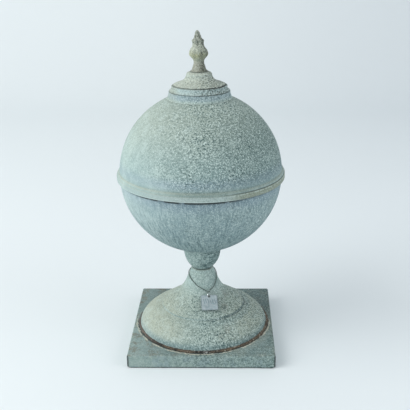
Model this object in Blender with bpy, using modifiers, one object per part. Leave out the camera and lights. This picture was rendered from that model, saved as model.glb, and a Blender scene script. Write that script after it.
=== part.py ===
"""Globe finial of patinated sheet metal: a folded square base, a spun foot, a globe in two halves, a spun cap and a cast
bud, with a small tag on a cord round its neck. Metres, +Z up. The origin is the middle of the base's underside."""

import math

import bmesh
import bpy
from mathutils import Matrix, Vector

# Clearance between pieces that touch
GAP = 0.0003

# Sides of a turned piece
ROUND_STEPS = 44
SMALL_STEPS = 38

# Square base, a tray of folded sheet that is open below
PLATE_SIDE = 0.273
PLATE_HEIGHT = 0.0265
PLATE_SHEET = 0.0015
FOLD_RADIUS = 0.003
FLANGE_CORNER = 0.007

# Rounding of worn edges
EDGE = 0.0007

# Foot, with heights above the plate
RIM_RADIUS = 0.1245
RIM_SHOULDER = 0.019
STEP_RADIUS = 0.080
STEP_HEIGHT = 0.0400
STEP_DROP = 0.0026
BROW_INSET = 0.0045
BROW_RISE = 0.0035
SLOPE_RADIUS = 0.060
SLOPE_HEIGHT = 0.0555
FLARE_REACH = 0.0095
FLARE_RISE = 0.0137
SHOULDER_RADIUS = 0.029
SHOULDER_DROP = 0.0223
NECK_RADIUS = 0.0216
NECK_DROP = 0.0048
THROAT_RADIUS = 0.0175
FOOT_HEIGHT = 0.117

# Bead round the foot's rim
BEAD_WIDTH = 0.005
BEAD_HEIGHT = 0.0035
BEAD_CROWN_INSET = 0.0008

# Cup under the globe
CUP_RADIUS = 0.036
CUP_HEIGHT = 0.0462
CUP_BELLY_OUT = 0.0008
CUP_BELLY_HEIGHT = 0.0135

# Globe and the bead where its halves lap
GLOBE_RADIUS = 0.150
LAP_STAND = 0.005
LAP_RISE = 0.0085
LAP_DROP = 0.0072
LAP_LIP = 0.0015

# Collar on the globe
COLLAR_RADIUS = 0.0553
COLLAR_FLARE = 0.0040
COLLAR_FILLET = 0.0102
COLLAR_HEIGHT = 0.0129

# Cap, from its ledge to the boss that carries the bud
LEDGE_INSET = 0.0009
LEDGE_HEIGHT = 0.0011
DRUM_INSET = 0.0042
DRUM_HEIGHT = 0.0091
DRUM_ROUNDING = 0.0025
DRUM_COVE = 0.0060
GROOVE_DEPTH = 0.0015
GROOVE_HEIGHT = 0.0012
BELL_INSET = 0.0032
BELL_RIM_WIDTH = 0.0100
BELL_RIM_HEIGHT = 0.0041
BELL_RIM_ROUNDING = 0.0025
WAIST_RADIUS = 0.0232
WAIST_SWEEP_REACH = 0.0031
WAIST_SWEEP_RISE = 0.0027
BOSS_HEIGHT = 0.0066
CAP_HEIGHT = 0.0341

# Bud: its outline as shares of its height and of its widest radius
TIP_HEIGHT = 0.071
TIP_RADIUS = 0.0167
TIP_DISC_RADIUS = 0.0150
TIP_DISC_HEIGHT = 0.0018
TIP_FOOT_RADIUS = 0.0130
TIP_LEAN = 0.0022
TIP_STEPS = 32
TIP_OUTLINE = (
    (1.000, 0.00),
    (0.985, 0.13),
    (0.940, 0.25),
    (0.895, 0.29),
    (0.860, 0.35),
    (0.825, 0.39),
    (0.790, 0.48),
    (0.748, 0.62),
    (0.715, 0.64),
    (0.675, 0.60),
    (0.635, 0.61),
    (0.585, 0.72),
    (0.530, 0.90),
    (0.470, 0.99),
    (0.425, 1.00),
    (0.385, 0.95),
    (0.340, 0.80),
    (0.295, 0.63),
    (0.250, 0.56),
    (0.190, 0.57),
    (0.110, 0.68),
    (0.050, 0.76),
)
# Carved rows on the bud: middle and reach as shares of its height, number of lobes, depth of the cuts between them as a
# share of the radius, turn in lobes, and how far a lobe's tip is drawn up as a share of the height
TIP_CARVING = (
    (0.46, 0.17, 8, 0.17, 0.0, 0.0),
    (0.70, 0.09, 6, 0.32, 0.5, 0.025),
    (0.85, 0.06, 5, 0.28, 0.0, 0.017),
)

# Tag, lying on the foot's slope, with its direction, tilt and turn in degrees
TAG_WIDTH = 0.032
TAG_LENGTH = 0.030
TAG_THICKNESS = 0.0012
TAG_CORNER = 0.003
TAG_HOLE_RADIUS = 0.0017
TAG_HOLE_INSET = 0.0031
TAG_HEIGHT = 0.0664
TAG_STAND = 0.0118
TAG_DIRECTION = 14.4
TAG_TILT = 45.0
TAG_TURN = 5.0

# Split ring through the tag's hole
RING_RADIUS = 0.0036
RING_WIRE = 0.0009
RING_ROLL = 40.0

# Cord from the knot on the ring, round the neck and back to the knot, with heights above the foot's underside
CORD_DIAMETER = 0.0016
CORD_SPACING = 2.6
CORD_POINTS = (
    (0.0058, -0.0362, 0.0825),
    (0.0040, -0.0359, 0.0832),
    (-0.0014, -0.0344, 0.0856),
    (-0.0075, -0.0322, 0.0885),
    (-0.0177, -0.0247, 0.0958),
    (-0.0250, -0.0129, 0.1022),
    (-0.0266, -0.0030, 0.1060),
    (-0.0239, 0.0060, 0.1082),
    (-0.0187, 0.0150, 0.1098),
    (-0.0103, 0.0215, 0.1104),
    (0.0000, 0.0239, 0.1106),
    (0.0103, 0.0215, 0.1103),
    (0.0186, 0.0151, 0.1097),
    (0.0232, 0.0078, 0.1084),
    (0.0262, 0.0006, 0.1058),
    (0.0278, -0.0064, 0.1016),
    (0.0273, -0.0134, 0.0964),
    (0.0241, -0.0240, 0.0882),
    (0.0200, -0.0306, 0.0843),
    (0.0164, -0.0338, 0.0826),
)
KNOT_LENGTH = 0.0046
KNOT_WIDTH = 0.0028

# Radii of the pieces that stand on one another, and heights above the floor
COLLAR_FOOT_RADIUS = COLLAR_RADIUS + COLLAR_FLARE
LEDGE_RADIUS = COLLAR_RADIUS - LEDGE_INSET
DRUM_RADIUS = LEDGE_RADIUS - DRUM_INSET
BELL_RADIUS = DRUM_RADIUS - BELL_INSET
FOOT_SEAT = PLATE_HEIGHT + GAP
CUP_SEAT = FOOT_SEAT + FOOT_HEIGHT + GAP
GLOBE_SEAT = CUP_SEAT + CUP_HEIGHT + GAP
GLOBE_CENTRE = GLOBE_SEAT + math.sqrt(GLOBE_RADIUS**2 - CUP_RADIUS**2)
COLLAR_SEAT = GLOBE_CENTRE + math.sqrt(GLOBE_RADIUS**2 - COLLAR_FOOT_RADIUS**2) + GAP
CAP_SEAT = COLLAR_SEAT + COLLAR_HEIGHT + GAP
TIP_SEAT = CAP_SEAT + CAP_HEIGHT + GAP


def clear_scene():
    for obj in list(bpy.data.objects):
        bpy.data.objects.remove(obj, do_unlink=True)


def material(name, colour, roughness, metallic):
    made = bpy.data.materials.new(name)
    made.use_nodes = True
    shader = made.node_tree.nodes["Principled BSDF"]
    shader.inputs["Base Color"].default_value = (*colour, 1.0)
    shader.inputs["Roughness"].default_value = roughness
    shader.inputs["Metallic"].default_value = metallic
    made.diffuse_color = (*colour, 1.0)
    return made


def curve_through(start, toward, end, steps):
    """Points after start on the curve that leaves start towards a middle point and arrives from it at end."""
    points = []
    for step in range(1, steps + 1):
        t = step / steps
        weights = ((1 - t) ** 2, 2 * t * (1 - t), t * t)
        points.append(
            tuple(sum(w * p[axis] for w, p in zip(weights, (start, toward, end))) for axis in (0, 1))
        )
    return points


def globe_arc(first, last, steps):
    """Points on the globe's outline, at angles from the top in radians."""
    angles = [first + (last - first) * step / steps for step in range(steps + 1)]
    return [(GLOBE_RADIUS * math.sin(a), GLOBE_CENTRE + GLOBE_RADIUS * math.cos(a)) for a in angles]


def smooth_path(points, spacing):
    """A smooth curve through the points, read at an even spacing."""
    ends = [2 * points[0] - points[1]] + points + [2 * points[-1] - points[-2]]
    fine = []
    for a, b, c, d in zip(ends, ends[1:], ends[2:], ends[3:]):
        count = max(2, math.ceil(8 * (c - b).length / spacing))
        for step in range(count):
            t = step / count
            pull = (2 * a - 5 * b + 4 * c - d) * t * t + (3 * b - a - 3 * c + d) * t**3
            fine.append(0.5 * (2 * b + (c - a) * t + pull))
    fine.append(points[-1])
    lengths = [0.0]
    for a, b in zip(fine, fine[1:]):
        lengths.append(lengths[-1] + (b - a).length)
    count = math.ceil(lengths[-1] / spacing)
    path, at = [], 0
    for step in range(count + 1):
        wanted = lengths[-1] * step / count
        while at < len(fine) - 2 and lengths[at + 1] < wanted:
            at += 1
        share = (wanted - lengths[at]) / (lengths[at + 1] - lengths[at])
        path.append(fine[at].lerp(fine[at + 1], min(1.0, share)))
    return path


def keep_shape(obj):
    """Makes the object's modifiers part of its mesh, and shades it smooth with its sharp edges kept."""
    graph = bpy.context.evaluated_depsgraph_get()
    mesh = bpy.data.meshes.new_from_object(obj.evaluated_get(graph))
    old = obj.data
    obj.modifiers.clear()
    obj.data = mesh
    bpy.data.meshes.remove(old)
    mesh.name = obj.name
    mesh.shade_smooth()
    mesh.set_sharp_from_angle(angle=math.radians(32))


def finish(obj, finish_material):
    obj.data.materials.clear()
    obj.data.materials.append(finish_material)
    parts.objects.link(obj)


def turned(name, outline, steps, closed=False):
    """A turned object from its outline of (radius, height) points, listed from the top down its outer side."""
    mesh = bpy.data.meshes.new(name)
    edges = [(i, i + 1) for i in range(len(outline) - 1)]
    if closed:
        edges.append((len(outline) - 1, 0))
    mesh.from_pydata([(radius, 0.0, height) for radius, height in outline], edges, [])
    obj = bpy.data.objects.new(name, mesh)
    bpy.context.scene.collection.objects.link(obj)
    screw = obj.modifiers.new("Turn", "SCREW")
    screw.steps = screw.render_steps = steps
    screw.use_merge_vertices = True
    screw.merge_threshold = 0.00001
    bpy.context.view_layer.update()
    keep_shape(obj)
    bpy.context.scene.collection.objects.unlink(obj)
    return obj


def base_plate():
    half_top = PLATE_SIDE / 2 - FOLD_RADIUS
    flange_end = PLATE_HEIGHT - FOLD_RADIUS
    mesh = bmesh.new()
    bmesh.ops.create_grid(
        mesh, x_segments=1, y_segments=1, size=half_top, matrix=Matrix.Translation((0, 0, PLATE_HEIGHT))
    )
    for edge in list(mesh.edges):
        middle = (edge.verts[0].co + edge.verts[1].co) / 2
        outward = Vector((middle.x, middle.y, 0)).normalized()
        fold = bmesh.ops.spin(
            mesh,
            geom=[edge, *edge.verts],
            cent=middle - Vector((0, 0, FOLD_RADIUS)),
            axis=Vector((-outward.y, outward.x, 0)),
            angle=math.radians(90),
            steps=4,
            use_duplicate=False,
        )
        last = [item for item in fold["geom_last"] if isinstance(item, bmesh.types.BMEdge)]
        flange = bmesh.ops.extrude_edge_only(mesh, edges=last)["geom"]
        ends = [item for item in flange if isinstance(item, bmesh.types.BMVert)]
        bmesh.ops.translate(mesh, vec=(0, 0, -flange_end), verts=ends)
        bmesh.ops.bevel(
            mesh,
            geom=ends,
            offset=FLANGE_CORNER,
            offset_type="OFFSET",
            affect="VERTICES",
            segments=3,
            profile=0.5,
            material=-1,
        )
    bmesh.ops.recalc_face_normals(mesh, faces=mesh.faces)
    top = max(mesh.faces, key=lambda face: face.calc_center_median().z)
    if top.normal.z < 0:
        bmesh.ops.reverse_faces(mesh, faces=mesh.faces)
    data = bpy.data.meshes.new("base_plate")
    mesh.to_mesh(data)
    mesh.free()
    obj = bpy.data.objects.new("base_plate", data)
    sheet = obj.modifiers.new("Sheet", "SOLIDIFY")
    sheet.thickness = PLATE_SHEET
    sheet.offset = -1.0
    sheet.use_even_offset = True
    finish(obj, material("plate_patina", (0.19, 0.26, 0.245), 0.75, 0.1))


def foot_outline():
    """The foot's outline from its top outwards and down to its rim."""
    top = FOOT_SEAT + FOOT_HEIGHT
    throat = (THROAT_RADIUS, top)
    rounding = (NECK_RADIUS, top - EDGE)
    neck = (NECK_RADIUS, top - NECK_DROP)
    shoulder = (SHOULDER_RADIUS, top - SHOULDER_DROP)
    flare = (SHOULDER_RADIUS + FLARE_REACH, FOOT_SEAT + SLOPE_HEIGHT + FLARE_RISE)
    slope = (SLOPE_RADIUS, FOOT_SEAT + SLOPE_HEIGHT)
    step_foot = (STEP_RADIUS, FOOT_SEAT + STEP_HEIGHT)
    step_top = (STEP_RADIUS, step_foot[1] + STEP_DROP)
    brow = (STEP_RADIUS - BROW_INSET, step_top[1] + BROW_RISE)
    skirt = (RIM_RADIUS, FOOT_SEAT + RIM_SHOULDER)
    outline = [throat]
    outline += curve_through(throat, rounding, neck, 3)
    outline += [shoulder]
    outline += curve_through(shoulder, flare, slope, 5)
    outline += curve_through(slope, brow, step_top, 3)
    outline += [step_foot]
    outline += curve_through(step_foot, skirt, (RIM_RADIUS, FOOT_SEAT), 6)
    return outline


def foot_radius(height):
    """The foot's radius at a height above the floor."""
    outline = foot_outline()
    for (upper_radius, upper), (lower_radius, lower) in zip(outline, outline[1:]):
        if lower <= height < upper:
            return lower_radius + (upper_radius - lower_radius) * (height - lower) / (upper - lower)
    return outline[-1][0]


def foot():
    outline = [(0, FOOT_SEAT + FOOT_HEIGHT)] + foot_outline() + [(0, FOOT_SEAT)]
    obj = turned("foot", outline, ROUND_STEPS)
    finish(obj, material("foot_patina", (0.29, 0.38, 0.35), 0.78, 0.1))


def foot_bead():
    inner = RIM_RADIUS + GAP
    top = (inner, FOOT_SEAT + BEAD_HEIGHT)
    edge = (RIM_RADIUS + BEAD_WIDTH, FOOT_SEAT)
    crown = (edge[0] - BEAD_CROWN_INSET, top[1])
    outline = [top] + curve_through(top, crown, edge, 3) + [(inner, FOOT_SEAT)]
    obj = turned("foot_bead", outline, ROUND_STEPS, closed=True)
    finish(obj, material("bead_brown", (0.075, 0.050, 0.035), 0.85, 0.0))


def neck_cup():
    top = (CUP_RADIUS, CUP_SEAT + CUP_HEIGHT)
    bottom = (THROAT_RADIUS, CUP_SEAT)
    belly = (CUP_RADIUS + CUP_BELLY_OUT, CUP_SEAT + CUP_BELLY_HEIGHT)
    outline = [(0, top[1]), top] + curve_through(top, belly, bottom, 6) + [(0, CUP_SEAT)]
    obj = turned("neck_cup", outline, SMALL_STEPS)
    finish(obj, material("cup_patina", (0.21, 0.30, 0.28), 0.78, 0.1))


def globe_lower():
    upper = GLOBE_CENTRE - LAP_DROP - GAP
    first = math.acos((upper - GLOBE_CENTRE) / GLOBE_RADIUS)
    last = math.pi - math.asin(CUP_RADIUS / GLOBE_RADIUS)
    outline = [(0, upper)] + globe_arc(first, last, 8) + [(0, GLOBE_SEAT)]
    obj = turned("globe_lower", outline, ROUND_STEPS)
    finish(obj, material("globe_lower_patina", (0.23, 0.34, 0.36), 0.76, 0.1))


def globe_upper():
    first = math.asin(COLLAR_FOOT_RADIUS / GLOBE_RADIUS)
    last = math.acos(LAP_RISE / GLOBE_RADIUS)
    arc = globe_arc(first, last, 8)
    top = COLLAR_SEAT - GAP
    lap = GLOBE_RADIUS + LAP_STAND
    bottom = GLOBE_CENTRE - LAP_DROP
    crest = (lap, GLOBE_CENTRE + (LAP_RISE - LAP_DROP) / 2)
    brow = (lap, GLOBE_CENTRE + LAP_RISE - LAP_LIP)
    chin = (lap, bottom)
    outline = [(0, top)] + arc
    outline += curve_through(arc[-1], brow, crest, 3)
    outline += curve_through(crest, chin, (lap - LAP_LIP, bottom), 3)
    outline += [(0, bottom)]
    obj = turned("globe_upper", outline, ROUND_STEPS)
    finish(obj, material("globe_upper_patina", (0.30, 0.41, 0.39), 0.76, 0.1))


def collar():
    top = COLLAR_SEAT + COLLAR_HEIGHT
    wall = (COLLAR_RADIUS, COLLAR_SEAT + COLLAR_FILLET)
    foot_edge = (COLLAR_FOOT_RADIUS, COLLAR_SEAT)
    sweep = (COLLAR_RADIUS + COLLAR_FLARE / 4, COLLAR_SEAT + COLLAR_FLARE)
    outline = [(0, top), (COLLAR_RADIUS - EDGE, top), (COLLAR_RADIUS, top - EDGE), wall]
    outline += curve_through(wall, sweep, foot_edge, 3)
    outline += [(0, COLLAR_SEAT)]
    obj = turned("collar", outline, ROUND_STEPS)
    finish(obj, material("collar_patina", (0.27, 0.37, 0.385), 0.76, 0.1))


def cap():
    top = CAP_SEAT + CAP_HEIGHT
    ledge_top = CAP_SEAT + LEDGE_HEIGHT
    groove_foot = ledge_top + DRUM_HEIGHT
    groove_top = groove_foot + GROOVE_HEIGHT
    groove_radius = BELL_RADIUS - GROOVE_DEPTH
    bell_rim = (BELL_RADIUS, groove_top)
    rounding = (BELL_RADIUS - BELL_RIM_ROUNDING, groove_top + BELL_RIM_HEIGHT - BELL_RIM_ROUNDING)
    brow = (BELL_RADIUS - BELL_RIM_WIDTH, groove_top + BELL_RIM_HEIGHT)
    sweep = (WAIST_RADIUS + WAIST_SWEEP_REACH, brow[1] + WAIST_SWEEP_RISE)
    waist = (WAIST_RADIUS, top - BOSS_HEIGHT)
    boss = (TIP_DISC_RADIUS + EDGE, top)
    outline = [(0, top), boss]
    outline += curve_through(boss, (WAIST_RADIUS, top - EDGE), waist, 3)
    outline += curve_through(waist, sweep, brow, 4)
    outline += curve_through(brow, rounding, bell_rim, 3)
    drum_rim = (DRUM_RADIUS - DRUM_ROUNDING, groove_foot)
    drum_wall = (DRUM_RADIUS, groove_foot - DRUM_ROUNDING)
    cove = (DRUM_RADIUS, ledge_top + DRUM_COVE)
    cove_foot = (DRUM_RADIUS, ledge_top + DRUM_COVE / 4)
    outline += [(groove_radius, groove_top), (groove_radius, groove_foot), drum_rim]
    outline += curve_through(drum_rim, (DRUM_RADIUS, groove_foot), drum_wall, 2)
    outline += [cove] + curve_through(cove, cove_foot, (LEDGE_RADIUS, ledge_top), 2)
    outline += [(LEDGE_RADIUS, CAP_SEAT), (0, CAP_SEAT)]
    obj = turned("cap", outline, SMALL_STEPS)
    finish(obj, material("cap_patina", (0.36, 0.43, 0.39), 0.78, 0.1))


def carve_bud(mesh):
    """Cuts the rows of lobes into the bud and leans it a little to one side."""
    for vertex in mesh.vertices:
        x, y, z = vertex.co
        share = (z - TIP_SEAT) / TIP_HEIGHT
        around = math.atan2(x, -y)
        depth = rise = 0.0
        for middle, reach, lobes, cut, turn, drawn in TIP_CARVING:
            fade = max(0.0, 1 - ((share - middle) / reach) ** 2)
            lobe = abs(math.cos((around * lobes / 2) + turn * math.pi))
            depth += cut * fade * (1 - lobe) ** 0.8
            rise += drawn * fade * lobe
        vertex.co.x = x * (1 - depth) - TIP_LEAN * share**2
        vertex.co.y = y * (1 - depth)
        vertex.co.z = z + rise * TIP_HEIGHT


def tip():
    stem = [(share * TIP_RADIUS, TIP_SEAT + height * TIP_HEIGHT) for height, share in TIP_OUTLINE]
    disc_top = TIP_SEAT + TIP_DISC_HEIGHT
    outline = stem + [
        (TIP_FOOT_RADIUS, disc_top),
        (TIP_DISC_RADIUS - EDGE, disc_top),
        (TIP_DISC_RADIUS, disc_top - EDGE),
        (TIP_DISC_RADIUS, TIP_SEAT),
        (0, TIP_SEAT),
    ]
    obj = turned("tip", outline, TIP_STEPS)
    carve_bud(obj.data)
    finish(obj, material("bud_patina", (0.30, 0.35, 0.28), 0.7, 0.15))


def tag_frame():
    """Turns the tag's own width, length and face directions to where it lies on the slope."""
    height = FOOT_SEAT + TAG_HEIGHT
    place = Matrix.Translation((0, -foot_radius(height) - TAG_STAND, height))
    swing = Matrix.Rotation(math.radians(TAG_DIRECTION), 4, "Z")
    lean = Matrix.Rotation(math.radians(TAG_TILT), 4, "X")
    turn = Matrix.Rotation(math.radians(-TAG_TURN), 4, "Z")
    return swing @ place @ lean @ turn


def knot_frame():
    """The same directions at the knot, which sits on the ring."""
    ring_top = TAG_LENGTH / 2 - TAG_HOLE_INSET + 2 * RING_RADIUS + RING_WIRE / 2
    return tag_frame() @ Matrix.Translation((0, ring_top + GAP + KNOT_WIDTH / 2, 0))


def ring_of_points(curve, points):
    spline = curve.splines.new("POLY")
    spline.points.add(len(points) - 1)
    for place, (x, y) in zip(spline.points, points):
        place.co = (x, y, 0, 1)
    spline.use_cyclic_u = True


def corner_points(width, length, radius, steps):
    """The outline of a rectangle with round corners."""
    points = []
    for quarter, (sx, sy) in enumerate(((1, 1), (-1, 1), (-1, -1), (1, -1))):
        for step in range(steps + 1):
            angle = math.pi / 2 * (quarter + step / steps)
            points.append(
                (
                    sx * (width / 2 - radius) + radius * math.cos(angle),
                    sy * (length / 2 - radius) + radius * math.sin(angle),
                )
            )
    return points


def tag():
    curve = bpy.data.curves.new("tag", "CURVE")
    curve.dimensions = "2D"
    curve.fill_mode = "BOTH"
    curve.extrude = TAG_THICKNESS / 2
    ring_of_points(curve, corner_points(TAG_WIDTH, TAG_LENGTH, TAG_CORNER, 3))
    hole_y = TAG_LENGTH / 2 - TAG_HOLE_INSET
    sides = 12
    angles = [2 * math.pi * side / sides for side in range(sides)]
    ring_of_points(
        curve, [(TAG_HOLE_RADIUS * math.cos(a), hole_y + TAG_HOLE_RADIUS * math.sin(a)) for a in angles]
    )
    obj = bpy.data.objects.new("tag", curve)
    obj.matrix_world = tag_frame()
    finish(obj, material("tag_metal", (0.28, 0.37, 0.39), 0.6, 0.3))


def tag_ring():
    bpy.ops.mesh.primitive_torus_add(
        major_segments=18,
        minor_segments=6,
        major_radius=RING_RADIUS,
        minor_radius=RING_WIRE / 2,
    )
    obj = bpy.context.active_object
    obj.name = obj.data.name = "tag_ring"
    for collection in list(obj.users_collection):
        collection.objects.unlink(obj)
    middle = TAG_LENGTH / 2 - TAG_HOLE_INSET + RING_RADIUS
    stand = Matrix.Rotation(math.radians(RING_ROLL), 4, "Y")
    obj.matrix_world = tag_frame() @ Matrix.Translation((0, middle, 0)) @ stand
    obj.data.shade_smooth()
    finish(obj, material("ring_steel", (0.45, 0.45, 0.44), 0.3, 0.9))


def cord_knot():
    bpy.ops.mesh.primitive_uv_sphere_add(segments=10, ring_count=6, radius=KNOT_WIDTH / 2)
    obj = bpy.context.active_object
    obj.name = obj.data.name = "cord_knot"
    for collection in list(obj.users_collection):
        collection.objects.unlink(obj)
    obj.data.transform(Matrix.Diagonal((KNOT_LENGTH / KNOT_WIDTH, 1, 1, 1)))
    obj.matrix_world = knot_frame()
    obj.data.shade_smooth()
    finish(obj, material("knot_dark", (0.030, 0.028, 0.026), 0.9, 0.0))


def tag_cord():
    curve = bpy.data.curves.new("tag_cord", "CURVE")
    curve.dimensions = "3D"
    curve.bevel_depth = CORD_DIAMETER / 2
    curve.bevel_resolution = 2
    curve.use_fill_caps = True
    end = (KNOT_LENGTH + CORD_DIAMETER) / 2
    route = [knot_frame() @ Vector((-end, 0, 0))]
    route += [Vector((x, y, FOOT_SEAT + height)) for x, y, height in CORD_POINTS]
    route += [knot_frame() @ Vector((end, 0, 0))]
    path = smooth_path(route, CORD_SPACING * CORD_DIAMETER)
    spline = curve.splines.new("POLY")
    spline.points.add(len(path) - 1)
    for place, point in zip(spline.points, path):
        place.co = (*point, 1)
    obj = bpy.data.objects.new("tag_cord", curve)
    finish(obj, material("cord_dark", (0.035, 0.033, 0.030), 0.9, 0.0))


clear_scene()
parts = bpy.data.collections.new("finial")
bpy.context.scene.collection.children.link(parts)
base_plate()
foot()
foot_bead()
neck_cup()
globe_lower()
globe_upper()
collar()
cap()
tip()
tag()
tag_ring()
cord_knot()
tag_cord()
bpy.context.view_layer.update()
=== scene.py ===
import math

import bmesh
import bpy
from mathutils import Matrix, Vector, noise


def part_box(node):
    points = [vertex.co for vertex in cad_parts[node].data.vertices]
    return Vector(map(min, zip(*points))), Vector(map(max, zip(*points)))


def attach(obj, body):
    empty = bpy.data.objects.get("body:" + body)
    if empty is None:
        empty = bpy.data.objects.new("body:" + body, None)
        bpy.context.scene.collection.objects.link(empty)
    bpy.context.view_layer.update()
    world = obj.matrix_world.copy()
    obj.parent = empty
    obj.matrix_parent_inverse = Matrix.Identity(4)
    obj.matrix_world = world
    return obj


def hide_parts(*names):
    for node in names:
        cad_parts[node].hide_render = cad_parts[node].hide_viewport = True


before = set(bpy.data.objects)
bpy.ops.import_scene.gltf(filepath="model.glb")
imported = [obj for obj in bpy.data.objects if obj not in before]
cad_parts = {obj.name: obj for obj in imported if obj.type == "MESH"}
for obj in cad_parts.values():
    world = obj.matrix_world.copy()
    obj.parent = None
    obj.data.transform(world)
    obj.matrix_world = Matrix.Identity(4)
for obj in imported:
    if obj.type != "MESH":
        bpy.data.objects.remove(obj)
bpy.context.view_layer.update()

# Camera, a little to the right of the finial and looking down at it
EYE = Vector((0.0506, -1.2592, 0.7303))
EYE_YAW = -0.0347
EYE_PITCH = 0.3504
EYE_ROLL = -0.0151
LENS = 62.34
FILM = 36.0

# Pieces' boxes in the frame, lowest and highest corner
PLATE_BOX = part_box("base_plate")
FOOT_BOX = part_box("foot")
BEAD_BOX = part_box("foot_bead")
CUP_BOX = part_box("neck_cup")
LOWER_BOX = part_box("globe_lower")
UPPER_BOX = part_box("globe_upper")
COLLAR_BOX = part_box("collar")
CAP_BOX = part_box("cap")
TIP_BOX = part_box("tip")
TAG_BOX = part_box("tag")
RING_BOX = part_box("tag_ring")
KNOT_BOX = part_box("cord_knot")

# Square base of folded sheet
PLATE_HALF = PLATE_BOX[1][0]
PLATE_TOP = PLATE_BOX[1][2]
PLATE_SHEET = 0.0015
FOLD_RADIUS = 0.003
FLANGE_CORNER = 0.007
FLANGE_WIDENING = 0.0019
PLATE_CELLS = 64
FLANGE_ROWS = 12

# Foot, with heights above the plate
FOOT_SEAT = FOOT_BOX[0][2]
FOOT_TOP = FOOT_BOX[1][2]
RIM_RADIUS = FOOT_BOX[1][0]
RIM_SHOULDER = 0.019
STEP_RADIUS = 0.080
STEP_HEIGHT = 0.0400
STEP_DROP = 0.0026
BROW_INSET = 0.0045
BROW_RISE = 0.0035
SLOPE_RADIUS = 0.060
SLOPE_HEIGHT = 0.0555
FLARE_REACH = 0.0095
FLARE_RISE = 0.0137
SHOULDER_RADIUS = 0.029
SHOULDER_DROP = 0.0223
NECK_RADIUS = 0.0216
NECK_DROP = 0.0048
THROAT_RADIUS = 0.0175
EDGE = 0.0007
# Ragged edge of the bead: waves for each turn and their share, from slow to fine
RAGGED_EDGE = (
    (9, 0.6),
    (31, 0.5),
    (90, 0.4),
)

# Cup under the globe
CUP_RADIUS = 0.036
CUP_SEAT = CUP_BOX[0][2]
CUP_TOP = CUP_BOX[1][2]
CUP_BELLY_OUT = 0.0008
CUP_BELLY_HEIGHT = 0.0135

# Globe and the bead where its halves lap
GLOBE_RADIUS = 0.150
GLOBE_CENTRE = CUP_TOP + 0.0003 + math.sqrt(GLOBE_RADIUS**2 - CUP_RADIUS**2)
LAP_STAND = UPPER_BOX[1][0] - GLOBE_RADIUS
LAP_RISE = 0.0085
LAP_SHOULDER = 0.0026
LAP_CREASE = 0.0005
LAP_FOOT = UPPER_BOX[0][2]
LAP_LIP = 0.0015

# Collar and cap
COLLAR_SEAT = COLLAR_BOX[0][2]
COLLAR_TOP = COLLAR_BOX[1][2]
COLLAR_FOOT_RADIUS = COLLAR_BOX[1][0]
COLLAR_FLARE = 0.0040
COLLAR_RADIUS = COLLAR_FOOT_RADIUS - COLLAR_FLARE
COLLAR_FILLET = 0.0102
CAP_SEAT = CAP_BOX[0][2]
CAP_TOP = CAP_BOX[1][2]
LEDGE_RADIUS = CAP_BOX[1][0]
LEDGE_HEIGHT = 0.0011
DRUM_RADIUS = LEDGE_RADIUS - 0.0042
DRUM_HEIGHT = 0.0091
DRUM_ROUNDING = 0.0025
DRUM_COVE = 0.0060
GROOVE_DEPTH = 0.0015
GROOVE_HEIGHT = 0.0012
BELL_RADIUS = DRUM_RADIUS - 0.0032
BELL_RIM_WIDTH = 0.0100
BELL_RIM_HEIGHT = 0.0041
BELL_RIM_ROUNDING = 0.0025
WAIST_RADIUS = 0.0232
WAIST_SWEEP_REACH = 0.0031
WAIST_SWEEP_RISE = 0.0027
BOSS_HEIGHT = 0.0066

# Bud: its outline as shares of its height and of its widest radius
TIP_SEAT = TIP_BOX[0][2]
TIP_HEIGHT = 0.071
TIP_RADIUS = 0.0167
TIP_DISC_RADIUS = 0.0150
TIP_DISC_HEIGHT = 0.0018
TIP_FOOT_RADIUS = 0.0130
TIP_LEAN = 0.0022
TIP_OUTLINE = (
    (1.000, 0.00),
    (0.985, 0.13),
    (0.940, 0.25),
    (0.895, 0.29),
    (0.860, 0.35),
    (0.825, 0.39),
    (0.790, 0.48),
    (0.748, 0.62),
    (0.715, 0.64),
    (0.675, 0.60),
    (0.635, 0.61),
    (0.585, 0.72),
    (0.530, 0.90),
    (0.470, 0.99),
    (0.425, 1.00),
    (0.385, 0.95),
    (0.340, 0.80),
    (0.295, 0.63),
    (0.250, 0.56),
    (0.190, 0.57),
    (0.110, 0.68),
    (0.050, 0.76),
)
# Carved rows: middle and reach as shares of the height, lobes, cut, turn, and how far a lobe is drawn up
TIP_CARVING = (
    (0.46, 0.17, 8, 0.13, 0.0, 0.0),
    (0.70, 0.09, 6, 0.32, 0.5, 0.025),
    (0.85, 0.06, 5, 0.28, 0.0, 0.017),
)

# Tag, ring and knot
TAG_WIDTH = 0.032
TAG_LENGTH = 0.030
TAG_THICKNESS = 0.0012
TAG_CORNER = 0.003
TAG_BEND = 0.0012
TAG_HOLE_RADIUS = 0.0017
TAG_HOLE_INSET = 0.0031
TAG_DIRECTION = 14.4
TAG_TILT = 45.0
TAG_TURN = 5.0
RING_RADIUS = 0.0036
RING_WIRE = 0.0009
RING_ROLL = 40.0
RING_TURNS = 1.85
RING_STEPS = 84
KNOT_LENGTH = 0.0046
KNOT_WIDTH = 0.0028

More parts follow.
